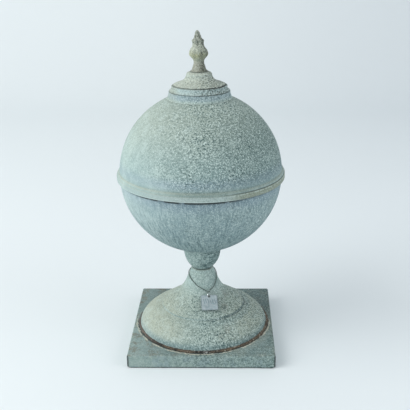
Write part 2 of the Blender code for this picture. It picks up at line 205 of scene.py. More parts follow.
# Cord, with heights above the foot's underside
CORD_DIAMETER = 0.0014
CORD_POINTS = (
    (0.0058, -0.0362, 0.0825),
    (0.0040, -0.0359, 0.0832),
    (-0.0014, -0.0344, 0.0856),
    (-0.0075, -0.0322, 0.0885),
    (-0.0177, -0.0247, 0.0958),
    (-0.0250, -0.0129, 0.1022),
    (-0.0266, -0.0030, 0.1060),
    (-0.0239, 0.0060, 0.1082),
    (-0.0187, 0.0150, 0.1098),
    (-0.0103, 0.0215, 0.1104),
    (0.0000, 0.0239, 0.1106),
    (0.0103, 0.0215, 0.1103),
    (0.0186, 0.0151, 0.1097),
    (0.0232, 0.0078, 0.1084),
    (0.0262, 0.0006, 0.1058),
    (0.0278, -0.0064, 0.1016),
    (0.0273, -0.0134, 0.0964),
    (0.0241, -0.0240, 0.0882),
    (0.0200, -0.0306, 0.0843),
    (0.0164, -0.0338, 0.0826),
)


def middle_of(box):
    return (Vector(box[0]) + Vector(box[1])) / 2


def tag_turning():
    """The turn from the tag's own width, length and face directions to the frame's."""
    swing = Matrix.Rotation(math.radians(TAG_DIRECTION), 4, "Z")
    lean = Matrix.Rotation(math.radians(TAG_TILT), 4, "X")
    turn = Matrix.Rotation(math.radians(-TAG_TURN), 4, "Z")
    return swing @ lean @ turn


def placed(name, data):
    """An object of the data, put in the scene."""
    obj = bpy.data.objects.new(name, data)
    bpy.context.scene.collection.objects.link(obj)
    return obj


# Camera and lamps
def camera():
    forward = Vector(
        (
            math.sin(EYE_YAW) * math.cos(EYE_PITCH),
            math.cos(EYE_YAW) * math.cos(EYE_PITCH),
            -math.sin(EYE_PITCH),
        )
    )
    level = Vector((math.cos(EYE_YAW), -math.sin(EYE_YAW), 0))
    upward = level.cross(forward)
    side = level * math.cos(EYE_ROLL) + upward * math.sin(EYE_ROLL)
    top = upward * math.cos(EYE_ROLL) - level * math.sin(EYE_ROLL)
    view = bpy.data.cameras.new("camera")
    view.lens = LENS
    view.sensor_width = FILM
    view.sensor_fit = "HORIZONTAL"
    view.clip_start = 0.05
    view.clip_end = 30
    obj = placed("camera", view)
    turn = Matrix((side, top, -forward)).transposed().to_4x4()
    obj.matrix_world = Matrix.Translation(EYE) @ turn
    bpy.context.scene.camera = obj


def area_light(name, place, target, size, power, colour):
    lamp = bpy.data.lights.new(name, "AREA")
    lamp.shape = "SQUARE"
    lamp.size = size
    lamp.energy = power
    lamp.color = colour
    aim = (Vector(target) - Vector(place)).to_track_quat("-Z", "Y")
    placed(name, lamp).matrix_world = Matrix.Translation(place) @ aim.to_matrix().to_4x4()


# Finishes
class Value:
    """A value in a finish, whose sums are written as plain arithmetic."""

    def __init__(self, finish, socket):
        self.finish = finish
        self.socket = socket

    def sum(self, operation, *terms):
        return self.finish.node("ShaderNodeMath", {"operation": operation}, dict(enumerate(terms)))

    def __add__(self, other):
        return self.sum("ADD", self, other)

    __radd__ = __add__

    def __sub__(self, other):
        return self.sum("SUBTRACT", self, other)

    def __rsub__(self, other):
        return self.sum("SUBTRACT", other, self)

    def __mul__(self, other):
        return self.sum("MULTIPLY", self, other)

    __rmul__ = __mul__

    def __truediv__(self, other):
        return self.sum("DIVIDE", self, other)

    def __pow__(self, other):
        return self.sum("POWER", self, other)

    def __abs__(self):
        return self.sum("ABSOLUTE", self)


class Finish:
    """A material while it is mixed."""

    def __init__(self, name, roughness=0.75, metallic=0.0):
        self.material = bpy.data.materials.new(name)
        self.material.use_nodes = True
        self.tree = self.material.node_tree
        self.shader = self.tree.nodes["Principled BSDF"]
        self.shader.inputs["Roughness"].default_value = roughness
        self.shader.inputs["Metallic"].default_value = metallic
        self.place = self.node("ShaderNodeTexCoord", {}, {}, "Object")
        split = self.node("ShaderNodeSeparateXYZ", {}, {"Vector": self.place})
        outputs = split.socket.node.outputs
        self.x, self.y, self.z = (Value(self, outputs[axis]) for axis in "XYZ")
        self.radius = (self.x**2 + self.y**2) ** 0.5

    def node(self, kind, settings, values, output=0):
        made = self.tree.nodes.new(kind)
        for name, setting in settings.items():
            setattr(made, name, setting)
        for name, value in values.items():
            if isinstance(value, Value):
                self.tree.links.new(value.socket, made.inputs[name])
            else:
                made.inputs[name].default_value = value
        return Value(self, made.outputs[output])

    def mix(self, share, under, over):
        """Colour over laid on colour under, by share."""
        colours = {6: under, 7: over}
        for name, colour in colours.items():
            if not isinstance(colour, Value):
                colours[name] = (*colour, 1.0)
        return self.node("ShaderNodeMix", {"data_type": "RGBA"}, {0: share, **colours}, 2)

    def lay(self, colour, *layers):
        """Each layer's (share, colour) laid on the colour in turn."""
        for share, tint in layers:
            colour = self.mix(share, colour, tint)
        return colour

    def fade(self, value, low, high):
        """0 at low, 1 at high, and smooth between them."""
        return self.node(
            "ShaderNodeMapRange",
            {"interpolation_type": "SMOOTHSTEP"},
            {"Value": value, "From Min": low, "From Max": high, "To Min": 0.0, "To Max": 1.0},
        )

    def band(self, value, middle, reach):
        """1 at the middle, fading to 0 at reach on both sides."""
        return 1 - self.fade(abs(value - middle), 0.0, reach)

    def across(self, left, right):
        """0 at the left place, 1 at the right one."""
        return self.fade(self.x, left, right)

    def grain(self, size, detail=2.0, roughness=0.55, stretch=(1, 1, 1), shift=0.0, place=None):
        """Noise whose spots are about size across."""
        moved = self.node(
            "ShaderNodeMapping",
            {},
            {"Vector": place or self.place, "Location": (shift, shift, shift), "Scale": stretch},
        )
        return self.node(
            "ShaderNodeTexNoise",
            {},
            {"Vector": moved, "Scale": 1 / size, "Detail": detail, "Roughness": roughness},
        )

    def dots(self, size):
        """1 in the middle of scattered dots about size apart, 0 between them."""
        away = self.node("ShaderNodeTexVoronoi", {}, {"Vector": self.place, "Scale": 1 / size}, "Distance")
        return 1 - self.fade(away, 0.24, 0.52)

    def round_place(self, down):
        """Places that change round the axis but only slowly down it, for streaks that run down."""
        return self.node(
            "ShaderNodeCombineXYZ",
            {},
            {"X": self.x / self.radius, "Y": self.y / self.radius, "Z": self.z * down},
        )

    def facing_up(self):
        normal = self.node("ShaderNodeNewGeometry", {}, {}, "Normal")
        return self.node("ShaderNodeSeparateXYZ", {}, {"Vector": normal}, "Z")

    def colour(self, colour):
        self.tree.links.new(colour.socket, self.shader.inputs["Base Color"])

    def rough(self, value):
        self.tree.links.new(value.socket, self.shader.inputs["Roughness"])

    def bump(self, height, depth):
        """Height goes from 0 to 1, over depth in metres."""
        normal = self.node("ShaderNodeBump", {}, {"Height": height, "Distance": depth, "Strength": 1.0})
        self.tree.links.new(normal.socket, self.shader.inputs["Normal"])


# Colours that the patinas share, painted shade and painted light among them
VERDIGRIS = (0.375, 0.495, 0.475)
SEA_GREY = (0.275, 0.390, 0.385)
LEAD_BLUE = (0.235, 0.325, 0.40)
TEAL_SPECK = (0.040, 0.088, 0.088)
# pale chalky patina, also painted highlight and painted light where the finishes lay it on lit edges and
# sides
CHALK_AND_PAINTED_LIGHT = (0.60, 0.73, 0.70)
# warm dust on up-facing surfaces, also painted light on the left of the collar and the cap's drum
WARM_DUST_AND_PAINTED_LIGHT = (0.42, 0.455, 0.36)
RUST = (0.075, 0.045, 0.028)
# near-black painted shade for grooves, gaps, creases and the undersides of edges
PAINTED_SHADE = (0.022, 0.033, 0.034)
PUTTY = (0.58, 0.57, 0.46)
RIGHT_SIDE_SHADE = (0.09, 0.155, 0.15)

# Tints of single pieces, from the globe to the floor, painted shade and painted highlight among them
LAP_PALE = (0.40, 0.48, 0.46)
LAP_OLIVE = (0.25, 0.26, 0.17)
HAZE_BLUE = (0.255, 0.345, 0.425)
SHADE_GREEN = (0.10, 0.165, 0.15)
SLATE_SHADE = (0.13, 0.20, 0.235)
LAP_SHADE = (0.10, 0.15, 0.13)
UNDER_LAP_SHADE = (0.14, 0.21, 0.26)
RUN_TEAL = (0.085, 0.160, 0.175)
BOTTOM_TEAL = (0.085, 0.155, 0.16)
CUP_SHADE = (0.10, 0.16, 0.15)
CUP_STREAK = (0.045, 0.10, 0.105)
BRUISE_BROWN = (0.22, 0.185, 0.15)
STEP_SHADE_TEAL = (0.16, 0.25, 0.27)
RIM_TEAL = (0.10, 0.18, 0.20)
RIM_GREY = (0.34, 0.37, 0.40)
PLATE_SHADE = (0.10, 0.14, 0.135)
PLATE_RIGHT_SHADE = (0.055, 0.085, 0.085)
PLATE_BROWN = (0.165, 0.15, 0.11)
FLANGE_GREEN = (0.20, 0.25, 0.20)
DRY_GREEN = (0.42, 0.47, 0.41)
WORN_FOLD = (0.42, 0.46, 0.36)
CRUST_DARK = (0.050, 0.037, 0.028)
CRUST_TAN = (0.17, 0.135, 0.095)
CRUST_BLACK = (0.014, 0.016, 0.015)
GAP_SHADE = (0.012, 0.014, 0.014)
CRUST_DUST = (0.17, 0.15, 0.13)
SOLDER_GREY = (0.52, 0.55, 0.53)
CRUMB = (0.42, 0.40, 0.33)
COLLAR_BLUE = (0.30, 0.385, 0.445)
BELL_PALE = (0.60, 0.635, 0.54)
BELL_SHADE = (0.24, 0.26, 0.21)
CAP_PIT = (0.03, 0.038, 0.03)
BUD_CREAM = (0.66, 0.66, 0.52)
BUD_OLIVE = (0.47, 0.475, 0.26)
BUD_CROWN = (0.24, 0.24, 0.20)
STEM_BROWN = (0.34, 0.325, 0.265)
BUD_SHADE = (0.12, 0.125, 0.07)
BUD_PIT = (0.035, 0.036, 0.025)
LEAD_DULL = (0.295, 0.375, 0.40)
LEAD_RUBBED = (0.415, 0.475, 0.495)
LEAD_CLOUD = (0.20, 0.265, 0.28)
TAG_EDGE_SHADE = (0.07, 0.10, 0.11)
HOLE_SHADE = (0.02, 0.025, 0.025)
STROKE_DARK = (0.10, 0.145, 0.165)
STROKE_WORN = (0.22, 0.28, 0.30)
STEEL_SHADE = (0.03, 0.035, 0.035)
STEEL_LIT = (0.97, 0.98, 0.98)
TWINE_DARK = (0.035, 0.050, 0.045)
TWINE_WORN = (0.15, 0.195, 0.175)
PAPER_LEFT = (0.785, 0.834, 0.850)
PAPER_RIGHT_SHADE = (0.725, 0.775, 0.802)


def patina(finish, layers=(), warm=0.5, specks=0.85, dabs=0.5, light=0.0, size=0.0023):
    """Mottled verdigris, with layers of (share, colour) laid on before painted shade on the right, pale
    dabs and dark specks.
    """
    slow = finish.grain(0.055, detail=3, shift=0.3)
    patches = finish.grain(0.016, detail=3, shift=1.7)
    mottle = finish.grain(size * 1.5, detail=4, roughness=0.8)
    fleck = finish.grain(size * 1.1, detail=3, roughness=0.8, shift=4.1)
    dots = finish.dots(size)
    right = finish.across(-0.13, 0.05)
    up = finish.fade(finish.facing_up(), 0.10, 0.85)
    amount = (0.25 + 0.75 * right) * (0.65 + 0.35 * finish.fade(slow, 0.60, 0.40)) * specks
    colour = finish.lay(
        finish.mix(finish.fade(slow, 0.40, 0.60) * 0.9, VERDIGRIS, SEA_GREY),
        (up * warm, WARM_DUST_AND_PAINTED_LIGHT),
        (finish.fade(patches, 0.46, 0.68) * 0.25 + light, CHALK_AND_PAINTED_LIGHT),
        *layers,
        # painted shade: dark teal over the right side, away from the light
        (right * specks * 0.24, RIGHT_SIDE_SHADE),
        (dots * finish.fade(mottle, 0.56, 0.42) * (0.7 + right) * dabs, CHALK_AND_PAINTED_LIGHT),
        (finish.fade(mottle, 0.495, 0.56) * (1 - dots * 0.7) * amount, TEAL_SPECK),
        (finish.fade(fleck, 0.55, 0.64) * amount * 0.6, TEAL_SPECK),
    )
    relief = (1 - mottle) * 0.5 + (1 - fleck) * 0.2 + dots * 0.3
    return colour, relief


def cover(finish, colour, relief, depth, roughness=0.55):
    finish.colour(colour)
    finish.rough(roughness + (1 - relief) * 0.3)
    finish.bump(relief, depth)
    return finish.material


def globe_upper_finish():
    finish = Finish("globe_upper_patina")
    above = finish.z - GLOBE_CENTRE - LAP_SHOULDER
    over_lap = finish.band(above, 0.017, 0.016)
    left = 1 - finish.across(-0.13, -0.02)
    middle = finish.band(finish.x, -0.01, 0.11)
    lap = 1 - finish.fade(above, -0.0006, 0.001)
    lap_right = finish.across(0.035, 0.085)
    lap_tint = finish.mix(lap_right, LAP_PALE, LAP_OLIVE)
    lap_share = lap * (0.35 + middle * 0.45 + lap_right * 0.35)
    above_lap = finish.fade(above, -0.0014, 0.0) * (1 - finish.fade(above, 0.005, 0.011))
    shade = finish.across(0.02, 0.11) * finish.band(above, 0.070, 0.085)
    low_shade = finish.band(above, 0.018, 0.020) * finish.across(-0.01, 0.08)
    # painted shade: the dome's right side and a band above the lap on the right
    layers = (
        (over_lap * (0.25 + middle * 0.38), HAZE_BLUE),
        (shade * 0.52, SHADE_GREEN),
        (lap_share, lap_tint),
        (low_shade * 0.5, SLATE_SHADE),
    )
    front = finish.band(finish.x, -0.01, 0.07)
    stippled = 0.35 + finish.fade(above + front * 0.014, 0.006, 0.034) * 0.72
    # painted light: extra pale chalk on the dome's left side
    colour, relief = patina(
        finish, layers, warm=0.55, specks=stippled, dabs=stippled * 0.70, light=left * 0.10, size=0.0021
    )
    scratch = finish.grain(0.010, detail=3, roughness=0.7, stretch=(0.4, 0.4, 2.6), shift=2.6)
    scratch_zone = finish.band(above, 0.032, 0.028) * finish.band(finish.x, -0.015, 0.06)
    rim = finish.band(above, -0.0012, 0.0010)
    dots = finish.fade(finish.grain(0.003, detail=1, shift=6.3), 0.44, 0.56)
    crease = finish.band(above, 0.0009, 0.0012)
    lower_edge = finish.band(finish.z, LAP_FOOT + 0.0012, 0.0012)
    under_side = 1 - finish.fade(finish.z, LAP_FOOT, LAP_FOOT + 0.0009)
    # painted shade above the lap, in its crease on the right and under its edge; painted highlight as pale
    # dots along its upper rim on the right and a pale line along its lower edge
    colour = finish.lay(
        colour,
        (above_lap * finish.band(finish.x, 0.02, 0.15) * 0.5, LAP_SHADE),
        (finish.fade(scratch, 0.56, 0.64) * scratch_zone * 0.75, TEAL_SPECK),
        (rim * dots * lap_right * 0.8, CHALK_AND_PAINTED_LIGHT),
        (crease * finish.across(0.02, 0.10) * 0.85, PAINTED_SHADE),
        (lower_edge * (1 - lap_right) * 0.45, CHALK_AND_PAINTED_LIGHT),
        (under_side * 0.7, PAINTED_SHADE),
    )
    return cover(finish, colour, relief, depth=0.0008)


def globe_lower_finish():
    finish = Finish("globe_lower_patina")
    run = finish.round_place(1.4)
    streak = finish.grain(0.022, detail=4, roughness=0.7, place=run)
    under_lap = finish.band(finish.z, LAP_FOOT, 0.030)
    bottom = 1 - finish.fade(finish.z, GLOBE_CENTRE - 0.135, GLOBE_CENTRE - 0.02)
    layers = (
        (0.30 + under_lap * 0.50, LEAD_BLUE),
        # painted light: paler chalk over the left limb
        ((1 - finish.across(-0.13, -0.05)) * 0.35, CHALK_AND_PAINTED_LIGHT),
        # painted shade just under the lap, in the middle
        (under_lap * finish.band(finish.x, -0.01, 0.10) * 0.35, UNDER_LAP_SHADE),
        (finish.fade(streak, 0.47, 0.60) * (0.30 + bottom * 0.65), RUN_TEAL),
        (bottom * 0.14, BOTTOM_TEAL),
        (finish.fade(streak, 0.46, 0.36) * 0.22, CHALK_AND_PAINTED_LIGHT),
    )
    colour, relief = patina(finish, layers, warm=0.0, specks=0.50, dabs=0.40)
    # painted shadow: a broken dark line under the lap's edge, strongest at the front
    line = finish.band(finish.z, LAP_FOOT - 0.0024, 0.0034)
    broken = finish.fade(finish.grain(0.02, detail=3, shift=3.0), 0.34, 0.46)
    front = 1 - finish.fade(abs(finish.x + 0.02), 0.06, 0.11)
    colour = finish.mix(line * (0.25 + front * broken * 0.9), colour, PAINTED_SHADE)
    return cover(finish, colour, relief * 0.6 + (1 - streak) * 0.4, depth=0.0010)


def cup_finish():
    finish = Finish("cup_patina")
    level = finish.grain(0.006, detail=4, roughness=0.75, stretch=(0.45, 0.45, 2.0), shift=2.2)
    right = finish.across(-0.012, 0.010)
    layers = ((0.12, CUP_SHADE),)
    colour, relief = patina(finish, layers, warm=0.3, specks=0.7, dabs=0.5, light=0.05)
    colour = finish.lay(
        colour,
        (finish.fade(level, 0.50, 0.56) * (0.10 + 0.75 * right), CUP_STREAK),
        # painted shade where the cup sits on the foot
        (finish.band(finish.z, CUP_SEAT, 0.0028) * 0.4, PAINTED_SHADE),
    )
    return cover(finish, colour, relief * 0.5 + (1 - level) * 0.5, depth=0.0009)


def foot_finish():
    finish = Finish("foot_patina")
    height = finish.z - FOOT_SEAT
    right = finish.across(-0.02, 0.07)
    centre = finish.band(finish.x, 0.005, 0.085)
    tone = finish.grain(0.035, detail=3, shift=5.5)
    from_left = finish.across(-0.125, -0.08)
    turn_down = finish.band(height, 0.0065, 0.0085) * from_left * (1 - right * 0.3)
    roll = finish.band(height, 0.0010, 0.0026)
    bruise = finish.fade(tone, 0.54, 0.66) * finish.across(0.01, 0.05)
    step = finish.band(finish.radius, STEP_RADIUS + 0.0010, 0.0027)
    below_step_shade = finish.band(finish.radius, STEP_RADIUS + 0.008, 0.010)
    throat = finish.fade(finish.z, FOOT_TOP - 0.0016, FOOT_TOP - 0.0004)
    layers = (
        (bruise * 0.45, BRUISE_BROWN),
        # painted shade: teal outside the step and a dark line at it, heavier on the right
        (below_step_shade * (0.10 + 0.30 * right), STEP_SHADE_TEAL),
        (step * (0.07 + 0.85 * right), PAINTED_SHADE),
        (turn_down * 0.55, RIM_TEAL),
        (roll * 0.60, RIM_GREY),
        # painted shade in the throat under the cup
        (throat * 0.5, PAINTED_SHADE),
    )
    warm = 0.9 - centre * 0.5
    specks = 1.05 - finish.fade(height, 0.060, 0.085) * 0.6
    colour, relief = patina(finish, layers, warm=warm, specks=specks, dabs=0.60, size=0.0022)
    # painted shade along the foot's lower edge
    colour = finish.mix(finish.band(height, 0.0, 0.0010) * 0.8, colour, PAINTED_SHADE)
    return cover(finish, colour, relief, depth=0.0009)


def plate_finish():
    finish = Finish("plate_patina")
    top = finish.fade(finish.z, PLATE_TOP - 0.003, PLATE_TOP - 0.0008)
    flange = 1 - top
    back = finish.fade(finish.y, -0.11, 0.10)
    tone = finish.grain(0.018, detail=4, roughness=0.7, shift=7.7)
    brown = finish.fade(tone, 0.48, 0.62) * (0.35 + 0.35 * finish.across(0.0, -0.11))
    blue_spots = finish.fade(finish.grain(0.012, detail=3, shift=12.0), 0.50, 0.62)
    left = finish.across(-0.08, -0.13)
    right = finish.across(0.06, 0.15) * finish.fade(finish.y, -0.13, -0.05)
    layers = (
        # painted shade: the top darker, more so at the back and less on the left, and darker still on the
        # right
        (top * (0.60 + back * 0.22 - left * 0.30), PLATE_SHADE),
        (top * right * 0.45, PLATE_RIGHT_SHADE),
        (brown * top, PLATE_BROWN),
        (flange * 0.35, FLANGE_GREEN),
        (flange * blue_spots * 0.25, LEAD_BLUE),
    )
    colour, relief = patina(finish, layers, warm=0.10, specks=1.0, dabs=0.3)
    ragged = finish.grain(0.005, detail=4, roughness=0.75, shift=3.3)
    edge = finish.radius + (ragged - 0.5) * 0.010 - BEAD_BOX[1][0]
    chips = finish.band(edge, 0.0024, 0.0018)
    patchy = finish.fade(finish.grain(0.022, detail=2, shift=6.0), 0.36, 0.48)
    front = finish.fade(finish.y, 0.05, -0.04)
    beside_bead = finish.band(edge, 0.008, 0.013) * finish.across(0.02, 0.08) * front
    side = finish.node("ShaderNodeMath", {"operation": "MAXIMUM"}, {0: abs(finish.x), 1: abs(finish.y)})
    fold = finish.band(side, PLATE_HALF - 0.003, 0.006) * finish.fade(finish.z, 0.016, 0.024)
    corner = finish.node("ShaderNodeMath", {"operation": "MINIMUM"}, {0: abs(finish.x), 1: abs(finish.y)})
    slit = finish.fade(corner, PLATE_HALF - 0.0045, PLATE_HALF - 0.0020) * flange
    lower_edge = 1 - finish.fade(finish.z + (ragged - 0.5) * 0.003, 0.0006, 0.0034)
    colour = finish.lay(
        colour,
        (beside_bead * 0.22, DRY_GREEN),
        # painted shade along the bead's front edge
        ((1 - finish.fade(edge, 0.0002, 0.0012)) * front * 0.85, PAINTED_SHADE),
        (chips * patchy * front, PUTTY),
        (fold * finish.fade(ragged, 0.52, 0.66) * (0.35 + back * 0.4), RUST),
        (fold * finish.fade(ragged, 0.50, 0.36) * (1 - back) * 0.4, WORN_FOLD),
        # painted shade in the corner slits and along the flanges' lower edge
        (slit * 0.85, PAINTED_SHADE),
        (lower_edge * 0.85, PAINTED_SHADE),
    )
    return cover(finish, colour, relief, depth=0.0007, roughness=0.5)


def bead_finish():
    finish = Finish("bead_brown", roughness=0.9)
    crust = finish.grain(0.003, detail=5, roughness=0.75)
    patches = finish.grain(0.020, detail=3, shift=5.0)
    right = finish.across(0.0, 0.06)
    colour = finish.mix(finish.fade(crust, 0.35, 0.65), CRUST_DARK, CRUST_TAN)
    black = finish.fade(patches, 0.44, 0.56) * (0.80 - right * 0.55)
    front_gap_shade = finish.band(finish.x, 0.0, 0.03) * finish.fade(finish.y, 0.0, -0.05)
    left = 1 - finish.across(-0.115, -0.075)
    blob = finish.band(finish.x, 0.008, 0.006) * finish.fade(finish.y, 0.0, -0.05)
    crumbs = finish.fade(finish.grain(0.0045, detail=2, shift=8.0), 0.60, 0.68)
    colour = finish.lay(
        colour,
        (black, CRUST_BLACK),
        # painted shade in the gap at the bead's front
        (front_gap_shade * 0.6, GAP_SHADE),
        (left * 0.6, CRUST_DUST),
        (blob * finish.fade(crust, 0.58, 0.42), SOLDER_GREY),
        (crumbs * (0.35 + right * 0.50), CRUMB),
    )
    finish.colour(colour)
    finish.bump(crust, 0.0014)
    return finish.material


def collar_finish():
    finish = Finish("collar_patina")
    blue = finish.fade(finish.z - COLLAR_SEAT, 0.001, 0.007)
    left = 1 - finish.across(-0.05, -0.03)
    # painted light: a warm pale tint on the left side
    layers = ((blue * 0.60, COLLAR_BLUE), (left * 0.30, WARM_DUST_AND_PAINTED_LIGHT))
    colour, relief = patina(finish, layers, warm=0.6, specks=0.75, light=0.15)
    return cover(finish, colour, relief, depth=0.0008)


def cap_finish():
    finish = Finish("cap_patina")
    height = finish.z - CAP_SEAT
    left = 1 - finish.across(-0.046, -0.030)
    right = finish.across(-0.015, 0.030)
    bell = finish.fade(height, 0.0098, 0.0106)
    drum = 1 - bell
    layers = (
        (drum * 0.2, LEAD_BLUE),
        # painted light: a warm pale tint on the drum's left
        (left * drum * 0.6, WARM_DUST_AND_PAINTED_LIGHT),
        (bell * 0.72, BELL_PALE),
        # painted shade on the bell's right side
        (bell * right * 0.04, BELL_SHADE),
    )
    colour, relief = patina(finish, layers, warm=0.7, specks=0.75, dabs=0.5, light=drum * 0.68, size=0.0022)
    pits = finish.fade(finish.grain(0.0028, detail=3, roughness=0.75, shift=7.0), 0.51, 0.57)
    ragged = finish.fade(finish.grain(0.004, detail=3, shift=2.0), 0.38, 0.50)
    groove = finish.band(height, LEDGE_HEIGHT + DRUM_HEIGHT + GROOVE_HEIGHT * 0.5, 0.0015)
    blot = finish.band(finish.x, 0.002, 0.006) * finish.fade(finish.y, 0.0, -0.02)
    seam = finish.band(height, LEDGE_HEIGHT * 0.4, 0.0013)
    top_edge = finish.band(height, CAP_TOP - CAP_SEAT, 0.0007)
    colour = finish.lay(
        colour,
        (pits * (0.22 + 0.62 * right), CAP_PIT),
        # painted shade in the groove, at the seam over the collar and round the top
        (groove * (0.50 + 0.70 * right * ragged), PAINTED_SHADE),
        (seam * (0.50 + 0.30 * right * ragged + 0.5 * blot), PAINTED_SHADE),
        (top_edge * 0.35, PAINTED_SHADE),
    )
    return cover(finish, colour, relief, depth=0.0010)


def bud_finish():
    finish = Finish("bud_patina")
    share = (finish.z - TIP_SEAT) / TIP_HEIGHT
    bulb = finish.band(share, 0.39, 0.18)
    tint = finish.fade(finish.grain(0.009, detail=3, shift=1.2), 0.36, 0.60)
    crown = finish.fade(share, 0.58, 0.80)
    stem = 1 - finish.fade(share, 0.20, 0.32)
    right = finish.across(-0.004, 0.010)
    layers = (
        (0.72, BUD_CREAM),
        (bulb * (0.50 + 0.35 * tint), BUD_OLIVE),
        (crown * 0.50, BUD_CROWN),
        (stem * 0.70, STEM_BROWN),
        # painted shade on the right side
        (right * (0.42 + 0.25 * stem), BUD_SHADE),
    )
    colour, relief = patina(finish, layers, warm=0.15, specks=0.7, dabs=0.3, size=0.0020)
    pits = finish.fade(finish.grain(0.0026, detail=3, roughness=0.7, shift=7.0), 0.50, 0.57)
    hollow = finish.node("ShaderNodeAttribute", {"attribute_name": "hollow"}, {}, "Fac")
    disc_foot = finish.band(finish.z, TIP_SEAT, 0.0010)
    colour = finish.lay(
        colour,
        (pits * (0.35 + 0.50 * right), BUD_PIT),
        # painted shade in the carved hollows, heavier on the right and in the crown, and at the disc's foot
        (hollow * (0.15 + 0.45 * right + 0.5 * crown), PAINTED_SHADE),
        (disc_foot * 0.9, PAINTED_SHADE),
    )
    return cover(finish, colour, relief, depth=0.0010)


def tag_finish():
    finish = Finish("tag_metal", roughness=0.55, metallic=0.15)
    rubbed = finish.grain(0.004, detail=4, roughness=0.6)
    cloud = finish.grain(0.012, detail=2, shift=2.0)
    colour = finish.mix(finish.fade(rubbed, 0.35, 0.65), LEAD_DULL, LEAD_RUBBED)
    on_tag = finish.node(
        "ShaderNodeMapping",
        {"vector_type": "TEXTURE"},
        {"Vector": finish.place, "Location": middle_of(TAG_BOX), "Rotation": tag_turning().to_euler()},
    )
    split = finish.node("ShaderNodeSeparateXYZ", {}, {"Vector": on_tag}).socket.node.outputs
    across = Value(finish, split["X"])
    along = Value(finish, split["Y"])
    edge = finish.fade(abs(across), TAG_WIDTH / 2 - 0.0018, TAG_WIDTH / 2 - 0.0004)
    edge = edge * 0.5 + finish.fade(abs(along), TAG_LENGTH / 2 - 0.0018, TAG_LENGTH / 2 - 0.0004) * 0.5
    from_hole = (across**2 + (along - TAG_LENGTH / 2 + TAG_HOLE_INSET) ** 2) ** 0.5
    hole = 1 - finish.fade(from_hole, TAG_HOLE_RADIUS, TAG_HOLE_RADIUS * 1.8)
    colour = finish.lay(
        colour,
        (finish.fade(cloud, 0.48, 0.68) * 0.45, LEAD_CLOUD),
        # painted shade along the tag's edges and round its hole
        (edge, TAG_EDGE_SHADE),
        (hole * 0.9, HOLE_SHADE),
    )
    finish.colour(colour)
    finish.rough(0.45 + rubbed * 0.2)
    finish.bump(rubbed, 0.0003)
    return finish.material


def stroke_finish():
    finish = Finish("tag_stroke_dark", roughness=0.8)
    rubbed = finish.grain(0.003, detail=3)
    finish.colour(finish.mix(rubbed, STROKE_DARK, STROKE_WORN))
    return finish.material


def ring_finish():
    finish = Finish("ring_steel", roughness=0.2, metallic=1.0)
    rub = finish.grain(0.0012, detail=3)
    low, high = RING_BOX[0][2], RING_BOX[1][2]
    lit = finish.fade(finish.z, low + (high - low) * 0.35, low + (high - low) * 0.65)
    finish.colour(finish.mix(lit, STEEL_SHADE, STEEL_LIT))
    finish.rough(0.12 + rub * 0.2)
    return finish.material


def twine_finish(name):
    finish = Finish(name, roughness=0.85)
    fuzz = finish.grain(0.0012, detail=3, roughness=0.7)
    finish.colour(finish.mix(finish.fade(fuzz, 0.35, 0.65), TWINE_DARK, TWINE_WORN))
    finish.bump(fuzz, 0.0003)
    return finish.material


def floor_finish():
    finish = Finish("floor_paper", roughness=0.9)
    # painted shade: the paper darker towards the right, where the light falls off
    falloff_rightward = finish.across(-0.6, 1.2) + finish.grain(0.5, detail=1) * 0.1
    finish.colour(finish.mix(falloff_rightward, PAPER_LEFT, PAPER_RIGHT_SHADE))
    return finish.material


# Shaping
def curve_through(start, toward, end, steps):
    """Points after start on the curve that leaves start towards a middle point and ends at end."""
    points = []
    for step in range(1, steps + 1):
        t = step / steps
        weights = ((1 - t) ** 2, 2 * t * (1 - t), t * t)
        ends = list(zip(weights, (start, toward, end)))
        points.append(tuple(sum(w * point[axis] for w, point in ends) for axis in (0, 1)))
    return points


def straight(start, end, steps):
    """Points after start on the line to end."""
    shares = [step / steps for step in range(1, steps + 1)]
    return [tuple(a + (b - a) * share for a, b in zip(start, end)) for share in shares]


def globe_arc(first, last, steps):
    """Points on the globe's outline, at angles from the top in radians."""
    angles = [first + (last - first) * step / steps for step in range(steps + 1)]
    return [(GLOBE_RADIUS * math.sin(a), GLOBE_CENTRE + GLOBE_RADIUS * math.cos(a)) for a in angles]


def spun(mesh, geom, steps, angle=2 * math.pi, axis=(0, 0, 1), cent=(0, 0, 0), rise=(0, 0, 0), merge=False):
    """Spins the geometry, climbing by rise with each step, and gives back its last place."""
    made = bmesh.ops.spin(
        mesh,
        geom=geom,
        cent=cent,
        axis=axis,
        dvec=rise,
        angle=angle,
        steps=steps,
        use_merge=merge,
        use_duplicate=False,
    )
    return made["geom_last"]


def edges_in(items):
    return [item for item in items if isinstance(item, bmesh.types.BMEdge)]


def corners_in(items):
    return [item for item in items if isinstance(item, bmesh.types.BMVert)]


def quarter_turn(mesh, axis, cent=(0, 0, 0)):
    bmesh.ops.rotate(mesh, matrix=Matrix.Rotation(math.pi / 2, 3, axis), cent=cent, verts=mesh.verts)


def turned(outline, steps, closed=False):
    """A turned shape from its outline of (radius, height) points, from the top down its outer side."""
    mesh = bmesh.new()
    corners = [mesh.verts.new((radius, 0, height)) for radius, height in outline]
    edges = [mesh.edges.new(pair) for pair in zip(corners, corners[1:])]
    if closed:
        edges.append(mesh.edges.new((corners[-1], corners[0])))
    spun(mesh, corners + edges, steps, merge=True)
    bmesh.ops.remove_doubles(mesh, verts=mesh.verts, dist=0.000001)
    bmesh.ops.recalc_face_normals(mesh, faces=mesh.faces)
    return mesh


def rounded(mesh, geom, offset, affect, segments):
    """Rounds the corners or edges of the geometry."""
    bmesh.ops.bevel(
        mesh,
        geom=geom,
        offset=offset,
        offset_type="OFFSET",
        affect=affect,
        segments=segments,
        profile=0.5,
        material=-1,
    )


